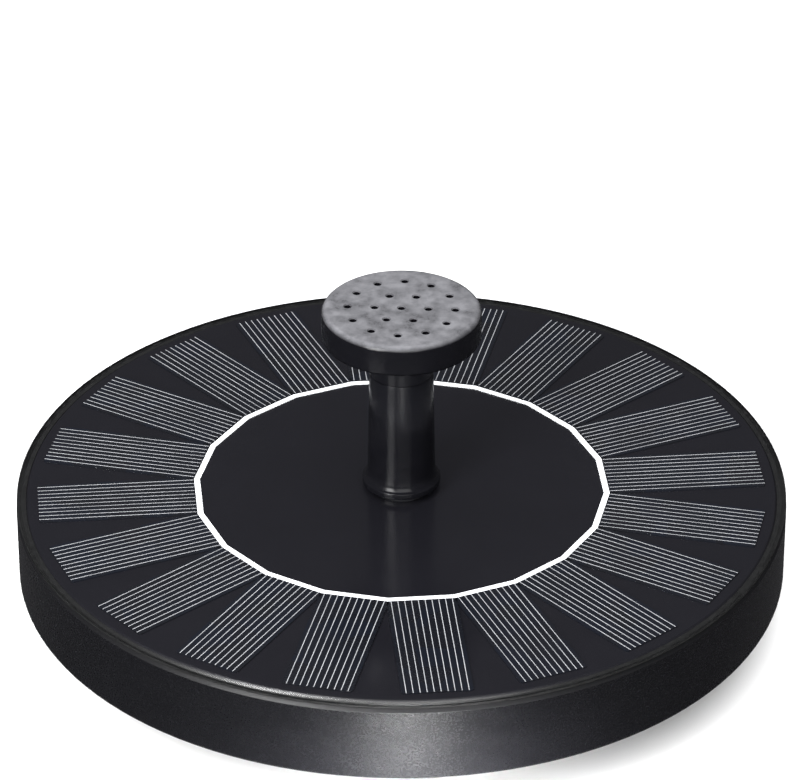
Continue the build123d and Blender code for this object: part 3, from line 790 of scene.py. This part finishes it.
class FOUNTAIN_OT_nozzle(bpy.types.Operator):
    """Model the riser and the spray head with its jet holes"""

    bl_idname = "fountain.nozzle"
    bl_label = "Riser and Spray Head"

    def execute(self, context):
        look = context.scene.plastic_look
        sizes = context.scene.nozzle_sizes
        plastic = moulded(
            "riser plastic", look.nozzle, look.nozzle_roughness, 0.3 * MM, 0.006 * MM, 0.16
        )
        piece(
            "riser_pipe", self.riser(sizes), plastic, "riser", ["riser_tube"]
        )
        cup = softened("nozzle_cup", CUP_EDGE)
        piece("spray_cup", cup, plastic, "spray_head", ["nozzle_cup"])
        capping = water_marks_and_sheen("spray cap", look.nozzle, look.marks_and_sheen, look.nozzle_roughness)
        piece(
            "spray_cap", self.cap(sizes), capping, "spray_head", ["nozzle_cap"]
        )
        return {"FINISHED"}

    def riser(self, sizes):
        foot, end = low("riser_tube").z, high("riser_tube").z
        neck = low("nozzle_cup").z - 0.1 * MM
        socket = radii("riser_tube", foot - MM, foot + 0.01 * MM)[0]
        socket_top = high("pump_housing").z + 0.1 * MM
        ring = radii("riser_tube", foot - MM, foot + 0.01 * MM)[1]
        tube_top = radii("riser_tube", neck - 0.02 * MM, neck + 0.02 * MM)[1]
        spigot = radii("riser_tube", end - 0.02 * MM, end + MM)[1]
        ring_top = foot + sizes.ring_height
        flare_top = ring_top + sizes.flare_height
        flare = [
            (
                ring - sizes.flare_reach * math.sin(math.radians(angle)),
                flare_top - sizes.flare_height * math.cos(math.radians(angle)),
            )
            for angle in range(0, 91, 10)
        ]
        outline = (
            (socket, foot),
            (ring, foot),
            *flare,
            (tube_top, neck),
            (spigot, neck),
            (spigot, end),
            (sizes.bore, end),
            (sizes.bore, socket_top),
            (socket, socket_top),
        )
        mesh = lathe(outline, MEDIUM_STEPS)
        for radius, height, rounding in (
            (ring, foot, 0.35 * MM),
            (ring, ring_top, 0.35 * MM),
            (tube_top, neck, 0.22 * MM),
            (spigot, end, 0.4 * MM),
            (sizes.bore, end, 0.2 * MM),
            (socket, foot, 0.3 * MM),
        ):
            round_over(mesh, circle_edges(mesh, radius, height), rounding, 4)
        tidy(mesh)
        return mesh

    def jet_places(self, sizes):
        """Centres of the jet holes: one in the middle and two rings."""
        places = [(0.0, 0.0)]
        for radius, count in ((sizes.jet_ring / 2, 6), (sizes.jet_ring, 12)):
            for index in range(count):
                turn = index * 2 * math.pi / count
                places.append((radius * math.cos(turn), radius * math.sin(turn)))
        return places

    def cap(self, sizes):
        foot, top = low("nozzle_cap").z, high("nozzle_cap").z
        rim = radii("nozzle_cap")[1]
        ceiling = top - sizes.cap_wall
        inner = rim - sizes.cap_wall
        flat = rim - sizes.cap_edge
        shoulder = top - sizes.cap_edge
        curve = [
            (
                flat + sizes.cap_edge * math.sin(math.radians(angle)),
                shoulder + sizes.cap_edge * math.cos(math.radians(angle)),
            )
            for angle in range(0, 91, 10)
        ]
        edge = CAP_FOOT_EDGE
        wall = [
            (rim, foot + edge),
            (rim - edge, foot),
            (inner + edge, foot),
            (inner, foot + edge),
            (inner, ceiling),
        ]
        mesh = lathe([*curve, *wall], MEDIUM_STEPS, closed=False)
        flare = sizes.jet + JET_FLARE
        throat = top - JET_FLARE
        for centre in self.jet_places(sizes):
            liner = ((flare, top), (sizes.jet, throat), (sizes.jet, ceiling))
            lathe(liner, JET_STEPS, closed=False, centre=centre, into=mesh)
        bmesh.ops.remove_doubles(mesh, verts=mesh.verts, dist=WELD)
        for level in (top, ceiling):
            rims = [
                edge
                for edge in mesh.edges
                if edge.is_boundary and all(abs(v.co.z - level) < 0.001 * MM for v in edge.verts)
            ]
            bmesh.ops.triangle_fill(
                mesh, edges=rims, use_beauty=True, use_dissolve=False, normal=(0, 0, 1)
            )
        tidy(mesh)
        return mesh


class FOUNTAIN_OT_float(bpy.types.Operator):
    """Finish the float's shell, its foam and the strainer"""

    bl_idname = "fountain.float"
    bl_label = "Float and Strainer"

    def execute(self, context):
        look = context.scene.plastic_look
        shell = shell_wear_and_highlight("shell plastic", look.shell, look.worn, look.shell_roughness)
        hull = softened("float_shell", SHELL_EDGE)
        piece("float_hull", hull, shell, "float_body", ["float_shell"])
        grey = moulded("strainer plastic", look.housing, 0.45)
        basket = softened("strainer_cap", BASKET_EDGE)
        piece("strainer_basket", basket, grey, "strainer", ["strainer_cap"])
        paint(closed_foam("closed foam"), "float_foam")
        return {"FINISHED"}


class FOUNTAIN_OT_pump(bpy.types.Operator):
    """Finish the pump's housing, its motor and its wiring"""

    bl_idname = "fountain.pump"
    bl_label = "Pump and Motor"

    def execute(self, context):
        look = context.scene.plastic_look
        housing = moulded("housing plastic", look.housing, 0.38)
        paint(housing, "pump_housing")
        plate = softened("volute_cover", PLATE_EDGE)
        piece("volute_plate", plate, housing, "float_body", ["volute_cover"])
        seals = ("flange_gasket", "spout_seal", "spigot_oring")
        paint(rubber("seal rubber", (0.016, 0.016, 0.016)), *seals)
        steel = machined("screw steel", (0.62, 0.62, 0.64), 0.32)
        for name, node in (("housing_screws", "flange_screws"), ("plate_screws", "cover_screws")):
            screws = softened(node, SCREW_EDGE)
            piece(name, screws, steel, "float_body", [node])
        paint(machined("ground steel", (0.7, 0.7, 0.72), 0.18, (1, 1, 12)), "shaft")
        paint(machined("laminations", (0.36, 0.36, 0.38), 0.42, (1, 1, 10)), "stator_core")
        paint(machined("enamelled copper", (0.72, 0.27, 0.09), 0.3, (1, 1, 6)), "stator_coils")
        paint(machined("solder", (0.7, 0.7, 0.72), 0.35), "solder_pads")
        paint(circuit_board("driver board"), "driver_board")
        paint(moulded("chip plastic", (0.02, 0.02, 0.02), 0.5), "board_parts")
        paint(moulded("potting resin", (0.02, 0.02, 0.024), 0.22, 1.5 * MM), "potting")
        bearings = ("rear_bush", "front_bush", "thrust_washers")
        paint(moulded("bearing plastic", (0.7, 0.69, 0.65), 0.4), *bearings)
        paint(moulded("impeller plastic", (0.68, 0.69, 0.71), 0.38), "impeller")
        paint(ferrite("ferrite"), "rotor_magnet")
        paint(rubber("red sleeve", (0.5, 0.015, 0.012), 0.45), "lead_red")
        paint(rubber("black sleeve", (0.012, 0.012, 0.012), 0.45), "lead_black")
        return {"FINISHED"}


class FOUNTAIN_OT_stage(bpy.types.Operator):
    """Set the floor, the lights and the camera"""

    bl_idname = "fountain.stage"
    bl_label = "Stage"

    def execute(self, context):
        look = context.scene.stage_look
        scene = context.scene
        scene.view_settings.view_transform = "Standard"
        mesh = bmesh.new()
        bmesh.ops.create_grid(mesh, x_segments=4, y_segments=4, size=FLOOR_REACH)
        data = bpy.data.meshes.new("floor")
        mesh.to_mesh(data)
        mesh.free()
        data.materials.append(floor_paint("floor paint", look.floor))
        floor = bpy.data.objects.new("floor", data)
        scene.collection.objects.link(floor)
        floor.location.z = -FLOOR_DROP
        floor.visible_glossy = False  # keeps the white floor out of the black walls
        floor.visible_shadow = False  # lets the under box light the strainer
        self.surround(scene, look)
        self.lights(look)
        self.camera(scene, look)
        return {"FINISHED"}

    def surround(self, scene, look):
        scene.world = bpy.data.worlds.new("studio")
        scene.world.use_nodes = True
        sky = scene.world.node_tree.nodes["Background"]
        sky.inputs["Color"].default_value = (0.96, 0.95, 1.0, 1)
        sky.inputs["Strength"].default_value = look.surround

    def aim(self, thing, place, target):
        thing.location = place
        along = Vector(target) - Vector(place)
        thing.rotation_euler = along.to_track_quat("-Z", "Y").to_euler()

    def softbox(self, look, name, power, extent, bearing, distance, height, target=PANEL_HEIGHT):
        """An area light; its bearing is measured from the camera's side of the object."""
        lamp = bpy.data.lights.new(name, "AREA")
        lamp.shape = "RECTANGLE"
        lamp.size, lamp.size_y = extent
        lamp.energy = power
        thing = bpy.data.objects.new(name, lamp)
        bpy.context.scene.collection.objects.link(thing)
        turn = math.radians(bearing - 90) + look.turn
        place = (distance * math.cos(turn), distance * math.sin(turn), height)
        self.aim(thing, place, (0, 0, target))
        thing.visible_camera = False
        return thing

    def lights(self, look):
        overhead = self.softbox(
            look, "overhead box", power=60, extent=(2.4, 2.4), bearing=0, distance=0.1, height=1.3
        )
        overhead.visible_glossy = False
        low_box = self.softbox(
            look,
            "low box",
            power=0.17,
            extent=(0.03, 0.016),
            bearing=1.5,
            distance=0.17,
            height=0.002,
            target=-0.005,
        )
        low_box.data.spread = math.radians(46)
        self.softbox(
            look, "front box", power=5, extent=(0.6, 0.6), bearing=7, distance=0.75, height=0.42
        )
        self.softbox(
            look,
            "left strip",
            power=5.5,
            extent=(0.2, 0.4),
            bearing=-36,
            distance=0.5,
            height=0.3,
        )
        self.softbox(
            look, "under box", power=12, extent=(1, 1), bearing=0, distance=0.1, height=-0.9
        )

    def camera(self, scene, look):
        lens = bpy.data.cameras.new("camera")
        lens.sensor_width = 36.0
        lens.lens = CAMERA_LENS
        lens.clip_start = 0.01
        eye = bpy.data.objects.new("camera", lens)
        scene.collection.objects.link(eye)
        turn = look.turn - math.radians(90)
        flat = look.distance * math.cos(look.elevation)
        rise = look.distance * math.sin(look.elevation)
        middle = Vector((0, 0, PANEL_HEIGHT))
        eye.location = middle + Vector((flat * math.cos(turn), flat * math.sin(turn), rise))
        eye.rotation_euler = (
            math.radians(90) - look.elevation + CAMERA_LIFT,
            0,
            turn + math.radians(90) + CAMERA_ASIDE,
        )
        scene.camera = eye


class FOUNTAIN_PT_sidebar(bpy.types.Panel):
    bl_label = "Floating Fountain"
    bl_space_type = "VIEW_3D"
    bl_region_type = "UI"
    bl_category = "Fountain"

    def draw(self, context):
        for group in GROUPS:
            settings = getattr(context.scene, group)
            for name in settings.__annotations__:
                self.layout.prop(settings, name)
        for operator in OPERATORS:
            self.layout.operator(operator.bl_idname)


GROUPS = {
    "panel_look": PanelLook,
    "plastic_look": PlasticLook,
    "nozzle_sizes": NozzleSizes,
    "stage_look": StageLook,
}
OPERATORS = (
    FOUNTAIN_OT_stage,
    FOUNTAIN_OT_panel,
    FOUNTAIN_OT_nozzle,
    FOUNTAIN_OT_float,
    FOUNTAIN_OT_pump,
)


def register():
    for group in (*GROUPS.values(), *OPERATORS, FOUNTAIN_PT_sidebar):
        bpy.utils.register_class(group)
    for name, group in GROUPS.items():
        setattr(bpy.types.Scene, name, PointerProperty(type=group))


def unregister():
    for name in GROUPS:
        delattr(bpy.types.Scene, name)
    for group in (FOUNTAIN_PT_sidebar, *reversed(OPERATORS), *GROUPS.values()):
        bpy.utils.unregister_class(group)


def main():
    register()
    bpy.ops.fountain.stage()
    bpy.ops.fountain.panel()
    bpy.ops.fountain.nozzle()
    bpy.ops.fountain.float()
    bpy.ops.fountain.pump()


if __name__ == "__main__":
    main()
